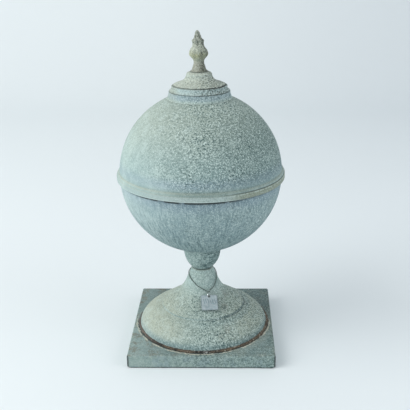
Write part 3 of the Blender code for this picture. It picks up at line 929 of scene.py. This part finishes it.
def dent(mesh, depth, size, seed):
    """Uneven sheet: points move in and out by up to depth, over dents about size across."""
    for corner in mesh.verts:
        x, y, z = corner.co
        radius = math.hypot(x, y)
        if radius > 0.004:
            push = depth * noise.noise(corner.co / size + Vector((seed, seed, seed)))
            corner.co.x += x / radius * push
            corner.co.y += y / radius * push


def piece(name, mesh, material, node=None, sharp=40):
    """Makes a finished piece of the mesh, smooth with its sharp edges kept."""
    data = bpy.data.meshes.new(name)
    mesh.to_mesh(data)
    mesh.free()
    data.shade_smooth()
    data.set_sharp_from_angle(angle=math.radians(sharp))
    data.materials.append(material)
    obj = placed(name, data)
    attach(obj, "root")
    if node:
        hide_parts(node)
    return obj


# Cord, knot, ring and tag
def cord():
    along = tag_turning() @ Vector((1, 0, 0))
    knot = middle_of(KNOT_BOX)
    reach = along * KNOT_LENGTH * 0.4
    route = [knot - reach]
    route += [Vector((x, y, FOOT_SEAT + height)) for x, y, height in CORD_POINTS]
    route += [knot + reach]
    curve = bpy.data.curves.new("tag_cord_twine", "CURVE")
    curve.dimensions = "3D"
    curve.bevel_depth = CORD_DIAMETER / 2
    curve.bevel_resolution = 3
    curve.use_fill_caps = True
    curve.resolution_u = 8
    spline = curve.splines.new("BEZIER")
    spline.bezier_points.add(len(route) - 1)
    for place, point in zip(spline.bezier_points, route):
        place.co = point
        place.handle_left_type = place.handle_right_type = "AUTO"
    curve.materials.append(twine_finish("cord_dark"))
    obj = placed("tag_cord_twine", curve)
    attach(obj, "root")
    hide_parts("tag_cord")
    return obj, route


def knot():
    mesh = bmesh.new()
    bmesh.ops.create_uvsphere(mesh, u_segments=24, v_segments=16, radius=KNOT_WIDTH * 0.42)
    bmesh.ops.scale(mesh, vec=(KNOT_LENGTH / KNOT_WIDTH * 0.95, 1, 1), verts=mesh.verts)
    for turn, place in enumerate((-0.55, 0.0, 0.55)):
        wrap = bmesh.new()
        width = CORD_DIAMETER * 0.42
        bmesh.ops.create_circle(wrap, segments=12, radius=width)
        quarter_turn(wrap, "Y")
        quarter_turn(wrap, "Z")
        seat = (0, KNOT_WIDTH * 0.34, 0)
        bmesh.ops.translate(wrap, vec=seat, verts=wrap.verts)
        quarter_turn(wrap, "Y", seat)
        spun(wrap, wrap.verts[:] + wrap.edges[:], 28, axis=(1, 0, 0), merge=True)
        bmesh.ops.rotate(wrap, matrix=Matrix.Rotation(0.35 * (turn - 1) + 0.2, 3, "Z"), verts=wrap.verts)
        bmesh.ops.translate(wrap, vec=(place * KNOT_LENGTH * 0.5, 0, 0), verts=wrap.verts)
        data = bpy.data.meshes.new("wrap")
        wrap.to_mesh(data)
        wrap.free()
        mesh.from_mesh(data)
        bpy.data.meshes.remove(data)
    bmesh.ops.recalc_face_normals(mesh, faces=mesh.faces)
    place = Matrix.Translation(middle_of(KNOT_BOX)) @ tag_turning()
    bmesh.ops.transform(mesh, matrix=place, verts=mesh.verts)
    return piece("cord_knot_wraps", mesh, twine_finish("knot_dark"), "cord_knot")


def split_ring():
    """Nearly two turns of wire side by side."""
    mesh = bmesh.new()
    bmesh.ops.create_circle(mesh, segments=14, radius=RING_WIRE * 0.4)
    quarter_turn(mesh, "X")
    bmesh.ops.translate(mesh, vec=(RING_RADIUS, 0, -RING_WIRE * 0.42), verts=mesh.verts)
    first = bmesh.ops.contextual_create(mesh, geom=mesh.edges[:])["faces"]
    geom = first[0].verts[:] + first[0].edges[:] + first
    rise = (0, 0, RING_WIRE * 0.84 / RING_STEPS)
    spun(mesh, geom, RING_STEPS, angle=2 * math.pi * RING_TURNS, rise=rise)
    bmesh.ops.recalc_face_normals(mesh, faces=mesh.faces)
    roll = Matrix.Rotation(math.radians(RING_ROLL), 4, "Y")
    place = Matrix.Translation(middle_of(RING_BOX)) @ tag_turning() @ roll
    bmesh.ops.transform(mesh, matrix=place, verts=mesh.verts)
    return piece("tag_split_ring", mesh, ring_finish(), "tag_ring", sharp=60)


def tag_place():
    return Matrix.Translation(middle_of(TAG_BOX)) @ tag_turning()


def tag_face():
    """The tag's flat face, with its round corners and its hole."""
    mesh = bmesh.new()
    bmesh.ops.create_grid(mesh, x_segments=1, y_segments=1, size=0.5)
    bmesh.ops.scale(mesh, vec=(TAG_WIDTH, TAG_LENGTH, 1), verts=mesh.verts)
    rounded(mesh, mesh.verts[:], TAG_CORNER, "VERTICES", 6)
    bmesh.ops.delete(mesh, geom=mesh.faces[:], context="FACES_ONLY")
    sides = [edge for edge in mesh.edges if edge.calc_length() > TAG_CORNER]
    bmesh.ops.subdivide_edges(mesh, edges=sides, cuts=7)
    bmesh.ops.create_circle(
        mesh,
        segments=24,
        radius=TAG_HOLE_RADIUS,
        matrix=Matrix.Translation((0, TAG_LENGTH / 2 - TAG_HOLE_INSET, 0)),
    )
    edges = mesh.edges[:]
    bmesh.ops.triangle_fill(mesh, use_beauty=True, use_dissolve=False, edges=edges, normal=(0, 0, 1))
    bmesh.ops.recalc_face_normals(mesh, faces=mesh.faces)
    if mesh.faces[0].normal.z < 0:
        bmesh.ops.reverse_faces(mesh, faces=mesh.faces)
    return mesh


def tag():
    mesh = tag_face()
    bmesh.ops.translate(mesh, vec=(0, 0, TAG_THICKNESS / 2), verts=mesh.verts)
    bmesh.ops.solidify(mesh, geom=mesh.faces[:], thickness=TAG_THICKNESS)
    for corner in mesh.verts:
        bend = (corner.co.x / TAG_WIDTH) ** 2 * TAG_BEND - 0.0002
        corner.co.z -= bend + 0.00025 * noise.noise(corner.co * 90)
    bmesh.ops.transform(mesh, matrix=tag_place(), verts=mesh.verts)
    obj = piece("tag_plate", mesh, tag_finish(), "tag")
    edge = obj.modifiers.new("Worn edge", "BEVEL")
    edge.width = 0.00025
    edge.segments = 2
    edge.limit_method = "ANGLE"
    return obj


def tag_strokes():
    """A row of leaning strokes and three rows of short dashes, laid shallow on the face and darkened."""
    leans = (12, 16, 10, 15, 12, 17)
    marks = [(-0.0105 + 0.0042 * n, 0.0025, 0.0010, 0.0095, lean) for n, lean in enumerate(leans)]
    for row, y in enumerate((-0.0050, -0.0080, -0.0110)):
        for n in range(7 - row):
            marks.append((-0.0100 + 0.0033 * n + 0.0010 * row, y, 0.0022, 0.0005, 0))
    mesh = bmesh.new()
    for x, y, width, length, lean in marks:
        bend = (x / TAG_WIDTH) ** 2 * TAG_BEND
        place = Matrix.Translation((x, y, TAG_THICKNESS / 2 - bend + 0.0001))
        turn = Matrix.Rotation(math.radians(lean), 4, "Z")
        size = Matrix.Diagonal((width, length, 0.0004, 1))
        bmesh.ops.create_cube(mesh, size=1, matrix=place @ turn @ size)
    rounded(mesh, mesh.edges[:], 0.0001, "EDGES", 2)
    bmesh.ops.transform(mesh, matrix=tag_place(), verts=mesh.verts)
    return piece("tag_strokes", mesh, stroke_finish())


# Base and foot
def base():
    half = PLATE_HALF - FOLD_RADIUS
    mesh = bmesh.new()
    bmesh.ops.create_grid(mesh, x_segments=PLATE_CELLS, y_segments=PLATE_CELLS, size=half)
    for corner in mesh.verts:
        for axis in (0, 1):
            corner.co[axis] = half * math.sin(math.pi / 2 * corner.co[axis] / half)
        corner.co.z = PLATE_TOP
    rim = [edge for edge in mesh.edges if edge.is_boundary]
    for outward in (Vector((1, 0, 0)), Vector((-1, 0, 0)), Vector((0, 1, 0)), Vector((0, -1, 0))):
        side = [edge for edge in rim if all(v.co.dot(outward) > half - 0.00001 for v in edge.verts)]
        fold_down(mesh, side, outward, half)
    trim_flanges(mesh, half)
    wave_sheet(mesh, half)
    bmesh.ops.recalc_face_normals(mesh, faces=mesh.faces)
    top = max(mesh.faces, key=lambda face: face.calc_center_median().z)
    if top.normal.z < 0:
        bmesh.ops.reverse_faces(mesh, faces=mesh.faces)
    obj = piece("base_tray", mesh, plate_finish(), "base_plate")
    sheet = obj.modifiers.new("Sheet", "SOLIDIFY")
    sheet.thickness = PLATE_SHEET
    sheet.offset = -1.0
    sheet.use_even_offset = True


def fold_down(mesh, side, outward, half):
    """Folds one side's edges over and draws them down into a flange."""
    ends = {corner for edge in side for corner in edge.verts}
    drop = PLATE_TOP - FOLD_RADIUS
    cent = outward * half + Vector((0, 0, drop))
    axis = Vector((-outward.y, outward.x, 0))
    last = edges_in(spun(mesh, side + list(ends), 8, angle=math.pi / 2, axis=axis, cent=cent))
    for row in range(FLANGE_ROWS):
        made = bmesh.ops.extrude_edge_only(mesh, edges=last)["geom"]
        lower = corners_in(made)
        bmesh.ops.translate(mesh, vec=(0, 0, -drop / FLANGE_ROWS), verts=lower)
        last = [edge for edge in edges_in(made) if all(v in lower for v in edge.verts)]


def trim_flanges(mesh, half):
    """Closes the flanges to a narrow slit at each corner and rounds their lower ends."""
    for corner in mesh.verts:
        x, y, z = corner.co
        if z > PLATE_TOP - 0.00001:
            continue
        along = 0 if abs(y) > abs(x) + 0.00001 else 1
        if abs(abs(x) - abs(y)) < FOLD_RADIUS * 1.5:
            along = 0 if abs(y) > half + 0.00001 and abs(x) <= half + 0.00001 else 1
        down = min(1.0, (PLATE_TOP - z) / FOLD_RADIUS)
        corner.co[along] *= 1 + FLANGE_WIDENING / half * down
        inset = half + FLANGE_WIDENING - abs(corner.co[along])
        if inset < FLANGE_CORNER:
            arc = FLANGE_CORNER - math.sqrt(max(0.0, FLANGE_CORNER**2 - (FLANGE_CORNER - inset) ** 2))
            corner.co.z = max(z, arc)


def wave_sheet(mesh, half):
    """Slight waves in the folded sheet, most along the flanges' lower edges."""
    for corner in mesh.verts:
        x, y, z = corner.co
        seat = Vector((x, y, z))
        free = 1 - min(1.0, z / PLATE_TOP)
        side = max(abs(x), abs(y))
        if side > half - 0.001:
            outward = Vector((x if abs(x) >= abs(y) else 0, y if abs(y) > abs(x) else 0, 0)).normalized()
            wave = noise.noise(seat / 0.035) * 0.0009 + noise.noise(seat / 0.011) * 0.0003
            corner.co -= outward * (abs(wave) * (0.3 + free))
        if z < 0.004:
            corner.co.z = max(0.0, z) + (0.0005 + 0.0005 * noise.noise(seat / 0.02)) * (1 - z / 0.004)
        elif z > PLATE_TOP - 0.0001 and side < half:
            corner.co.z -= 0.0003 + 0.0003 * noise.noise(seat / 0.05)


def foot_outline():
    throat = (THROAT_RADIUS, FOOT_TOP)
    rounding = (NECK_RADIUS, FOOT_TOP - EDGE)
    neck = (NECK_RADIUS, FOOT_TOP - NECK_DROP)
    shoulder = (SHOULDER_RADIUS, FOOT_TOP - SHOULDER_DROP)
    flare = (SHOULDER_RADIUS + FLARE_REACH, FOOT_SEAT + SLOPE_HEIGHT + FLARE_RISE)
    slope = (SLOPE_RADIUS, FOOT_SEAT + SLOPE_HEIGHT)
    step_foot = (STEP_RADIUS, FOOT_SEAT + STEP_HEIGHT)
    step_top = (STEP_RADIUS, step_foot[1] + STEP_DROP)
    brow = (STEP_RADIUS - BROW_INSET, step_top[1] + BROW_RISE)
    skirt = (RIM_RADIUS, FOOT_SEAT + RIM_SHOULDER)
    outline = [(0, FOOT_TOP), throat]
    outline += curve_through(throat, rounding, neck, 8)
    outline += straight(neck, shoulder, 10)
    outline += curve_through(shoulder, flare, slope, 24)
    outline += curve_through(slope, brow, step_top, 12)
    fillet = (STEP_RADIUS + STEP_DROP, step_foot[1] - STEP_DROP / 4)
    outline += curve_through(step_top, step_foot, fillet, 8)
    outline += curve_through(fillet, skirt, (RIM_RADIUS, FOOT_SEAT), 40)
    return outline + [(0, FOOT_SEAT)]


def foot():
    mesh = turned(foot_outline(), 192)
    dent(mesh, depth=0.0008, size=0.05, seed=3.0)
    piece("foot_shell", mesh, foot_finish(), "foot", sharp=50)


def foot_bead():
    inner = RIM_RADIUS - 0.0012
    outer = BEAD_BOX[1][0]
    top = BEAD_BOX[1][2]
    outline = [(inner, top - 0.0006)]
    outline += curve_through(outline[0], (outer - 0.0008, top + 0.0012), (outer, FOOT_SEAT), 10)
    outline += [(inner, FOOT_SEAT)]
    mesh = turned(outline, 360, closed=True)
    for corner in mesh.verts:
        x, y, z = corner.co
        around = Vector((x, y, 0)).normalized()
        reach = (math.hypot(x, y) - inner) / (outer - inner)
        lift = (z - FOOT_SEAT) / (top - FOOT_SEAT)
        ragged = sum(noise.noise(around * rate) * share for rate, share in RAGGED_EDGE)
        thin = 0.35 * max(0.0, -around.x) + 0.3 * max(0.0, around.y)
        corner.co += around * reach * (0.0022 * ragged - 0.0040 * thin * reach)
        corner.co.z -= lift * 0.0014 * (0.5 - ragged + thin)
    piece("foot_bead_crust", mesh, bead_finish(), "foot_bead", sharp=60)


# Cup, globe, collar and cap
def cup():
    top = (CUP_RADIUS, CUP_TOP)
    bottom = (THROAT_RADIUS, CUP_SEAT)
    belly = (CUP_RADIUS + CUP_BELLY_OUT, CUP_SEAT + CUP_BELLY_HEIGHT)
    outline = [(0, CUP_TOP), top] + curve_through(top, belly, bottom, 32) + [(0, CUP_SEAT)]
    mesh = turned(outline, 144)
    dent(mesh, depth=0.0005, size=0.02, seed=5.0)
    piece("neck_cup_shell", mesh, cup_finish(), "neck_cup")


def globe_lower():
    upper = LOWER_BOX[1][2]
    first = math.acos((upper - GLOBE_CENTRE) / GLOBE_RADIUS)
    last = math.pi - math.asin(CUP_RADIUS / GLOBE_RADIUS)
    outline = [(0, upper)] + globe_arc(first, last, 72) + [(0, LOWER_BOX[0][2])]
    mesh = turned(outline, 240)
    dent(mesh, depth=0.0006, size=0.06, seed=7.0)
    piece("globe_lower_shell", mesh, globe_lower_finish(), "globe_lower")


def globe_upper():
    first = math.asin(COLLAR_FOOT_RADIUS / GLOBE_RADIUS)
    last = math.acos(LAP_RISE / GLOBE_RADIUS)
    arc = globe_arc(first, last, 72)
    lap = GLOBE_RADIUS + LAP_STAND
    shoulder = GLOBE_CENTRE + LAP_SHOULDER
    crease = (lap - LAP_CREASE * 2.4, shoulder + LAP_CREASE)
    brow = (lap - LAP_CREASE * 3, GLOBE_CENTRE + LAP_RISE - LAP_LIP)
    crest = (lap, shoulder - LAP_CREASE * 2)
    outline = [(0, UPPER_BOX[1][2])] + arc
    outline += curve_through(arc[-1], brow, crease, 10)
    outline += curve_through(crease, (lap - LAP_CREASE * 0.2, shoulder), crest, 4)
    outline += straight(crest, (lap, LAP_FOOT + LAP_LIP), 6)
    outline += curve_through(outline[-1], (lap, LAP_FOOT), (lap - LAP_LIP, LAP_FOOT), 6)
    outline += [(0, LAP_FOOT)]
    mesh = turned(outline, 240)
    dent(mesh, depth=0.0006, size=0.06, seed=9.0)
    finish = globe_upper_finish()
    piece("globe_upper_shell", mesh, finish, "globe_upper", sharp=50)


def collar():
    wall = (COLLAR_RADIUS, COLLAR_SEAT + COLLAR_FILLET)
    rim = (COLLAR_RADIUS - EDGE, COLLAR_TOP)
    outline = [(0, COLLAR_TOP), rim]
    outline += curve_through(rim, (COLLAR_RADIUS, COLLAR_TOP), (COLLAR_RADIUS, COLLAR_TOP - EDGE), 4)
    outline += straight(outline[-1], wall, 3)
    sweep = (COLLAR_RADIUS + COLLAR_FLARE / 4, COLLAR_SEAT + COLLAR_FLARE)
    outline += curve_through(wall, sweep, (COLLAR_FOOT_RADIUS, COLLAR_SEAT), 14)
    outline += [(0, COLLAR_SEAT)]
    mesh = turned(outline, 192)
    dent(mesh, depth=0.0004, size=0.03, seed=11.0)
    piece("collar_band", mesh, collar_finish(), "collar")


def cap():
    ledge_top = CAP_SEAT + LEDGE_HEIGHT
    groove_foot = ledge_top + DRUM_HEIGHT
    groove_top = groove_foot + GROOVE_HEIGHT
    groove_radius = BELL_RADIUS - GROOVE_DEPTH
    bell_rim = (BELL_RADIUS, groove_top)
    rounding = (BELL_RADIUS - BELL_RIM_ROUNDING, groove_top + BELL_RIM_HEIGHT - BELL_RIM_ROUNDING)
    brow = (BELL_RADIUS - BELL_RIM_WIDTH, groove_top + BELL_RIM_HEIGHT)
    sweep = (WAIST_RADIUS + WAIST_SWEEP_REACH, brow[1] + WAIST_SWEEP_RISE)
    waist = (WAIST_RADIUS, CAP_TOP - BOSS_HEIGHT)
    boss = (TIP_DISC_RADIUS + EDGE, CAP_TOP)
    outline = [(0, CAP_TOP), boss]
    outline += curve_through(boss, (WAIST_RADIUS, CAP_TOP - EDGE), waist, 10)
    outline += curve_through(waist, sweep, brow, 18)
    outline += curve_through(brow, rounding, bell_rim, 14)
    outline += [(groove_radius, groove_top), (groove_radius, groove_foot)]
    drum_rim = (DRUM_RADIUS - DRUM_ROUNDING, groove_foot)
    drum_wall = (DRUM_RADIUS, groove_foot - DRUM_ROUNDING)
    cove = (DRUM_RADIUS, ledge_top + DRUM_COVE)
    cove_foot = (DRUM_RADIUS, ledge_top + DRUM_COVE / 4)
    outline += [drum_rim] + curve_through(drum_rim, (DRUM_RADIUS, groove_foot), drum_wall, 6)
    outline += [cove] + curve_through(cove, cove_foot, (LEDGE_RADIUS, ledge_top), 10)
    outline += [(LEDGE_RADIUS, CAP_SEAT + LEDGE_HEIGHT / 2)]
    outline += [(LEDGE_RADIUS - LEDGE_HEIGHT / 2, CAP_SEAT), (0, CAP_SEAT)]
    mesh = turned(outline, 192)
    dent(mesh, depth=0.0005, size=0.02, seed=13.0)
    piece("cap_shell", mesh, cap_finish(), "cap")


# Bud
def smooth_outline(points, steps):
    """A smooth line through the outline's points, with steps to each stretch."""
    ends = [points[0]] + list(points) + [points[-1]]
    smooth = []
    for a, b, c, d in zip(ends, ends[1:], ends[2:], ends[3:]):
        for step in range(steps):
            t = step / steps
            weights = (
                (2 * t * t - t - t**3) / 2,
                1 + (3 * t**3 - 5 * t * t) / 2,
                (t + 4 * t * t - 3 * t**3) / 2,
                (t**3 - t * t) / 2,
            )
            near = list(zip(weights, (a, b, c, d)))
            smooth.append(tuple(sum(w * point[axis] for w, point in near) for axis in (0, 1)))
    return smooth + [points[-1]]


def bud():
    points = smooth_outline(TIP_OUTLINE, 6)
    stem = [(max(0.0, share) * TIP_RADIUS, TIP_SEAT + height * TIP_HEIGHT) for height, share in points]
    disc_top = TIP_SEAT + TIP_DISC_HEIGHT
    disc_rim = (TIP_DISC_RADIUS - EDGE, disc_top)
    outline = stem + [(TIP_FOOT_RADIUS, disc_top), disc_rim]
    outline += curve_through(disc_rim, (TIP_DISC_RADIUS, disc_top), (TIP_DISC_RADIUS, disc_top - EDGE), 4)
    outline += [(TIP_DISC_RADIUS, TIP_SEAT), (0, TIP_SEAT)]
    mesh = turned(outline, 160)
    # the hollow layer marks the deepest carving, where the finish paints shade
    hollow = mesh.verts.layers.float.new("hollow")
    for corner in mesh.verts:
        x, y, z = corner.co
        share = (z - TIP_SEAT) / TIP_HEIGHT
        around = math.atan2(x, -y)
        depth = rise = dark = 0.0
        for middle, reach, lobes, cut, turn, drawn in TIP_CARVING:
            fade = max(0.0, 1 - ((share - middle) / reach) ** 2)
            lobe = abs(math.cos((around * lobes / 2) + turn * math.pi))
            depth += cut * fade * (1 - lobe) ** 0.8
            rise += drawn * fade * lobe
            dark += fade * (1 - lobe) ** 2
        depth += 0.02 * noise.noise(Vector((x, y, z)) / 0.003)
        corner.co.x = x * (1 - depth) - TIP_LEAN * share**2
        corner.co.y = y * (1 - depth)
        corner.co.z = z + rise * TIP_HEIGHT
        corner[hollow] = min(1.0, dark)
    piece("bud_casting", mesh, bud_finish(), "tip", sharp=70)


# Floor and lights
def floor():
    mesh = bmesh.new()
    bmesh.ops.create_grid(mesh, x_segments=1, y_segments=1, size=4)
    far = [edge for edge in mesh.edges if all(v.co.y > 3.9 for v in edge.verts)]
    bmesh.ops.translate(mesh, vec=(0, -2.0, 0), verts=[v for edge in far for v in edge.verts])
    geom = far + [v for edge in far for v in edge.verts]
    last = edges_in(spun(mesh, geom, 24, angle=math.pi / 2, axis=(1, 0, 0), cent=(0, 2.0, 1.2)))
    made = bmesh.ops.extrude_edge_only(mesh, edges=last)["geom"]
    bmesh.ops.translate(mesh, vec=(0, 0, 2.5), verts=corners_in(made))
    bmesh.ops.recalc_face_normals(mesh, faces=mesh.faces)
    data = bpy.data.meshes.new("floor_sweep")
    mesh.to_mesh(data)
    mesh.free()
    data.shade_smooth()
    data.materials.append(floor_finish())
    placed("floor_sweep", data)


def lights():
    world = bpy.data.worlds.new("studio")
    world.use_nodes = True
    backdrop = world.node_tree.nodes["Background"]
    backdrop.inputs["Color"].default_value = (0.93, 0.97, 1.0, 1.0)
    backdrop.inputs["Strength"].default_value = 0.66
    bpy.context.scene.world = world
    area_light(
        "window", (-3.2, -1.4, 2.6), target=(0, 0, 0.30), size=3.4, power=130, colour=(1.0, 0.995, 0.975)
    )
    area_light(
        "bounce", (2.2, -0.9, 1.5), target=(0.2, 0, 0.2), size=1.8, power=15, colour=(0.97, 0.98, 1.0)
    )
    bpy.context.scene.view_settings.view_transform = "Standard"


camera()
twine, route = cord()
cord_pieces = [knot(), split_ring(), tag(), tag_strokes()]
length = sum((b - a).length for a, b in zip(route, route[1:]))
base()
foot()
foot_bead()
cup()
globe_lower()
globe_upper()
collar()
cap()
bud()
floor()
lights()
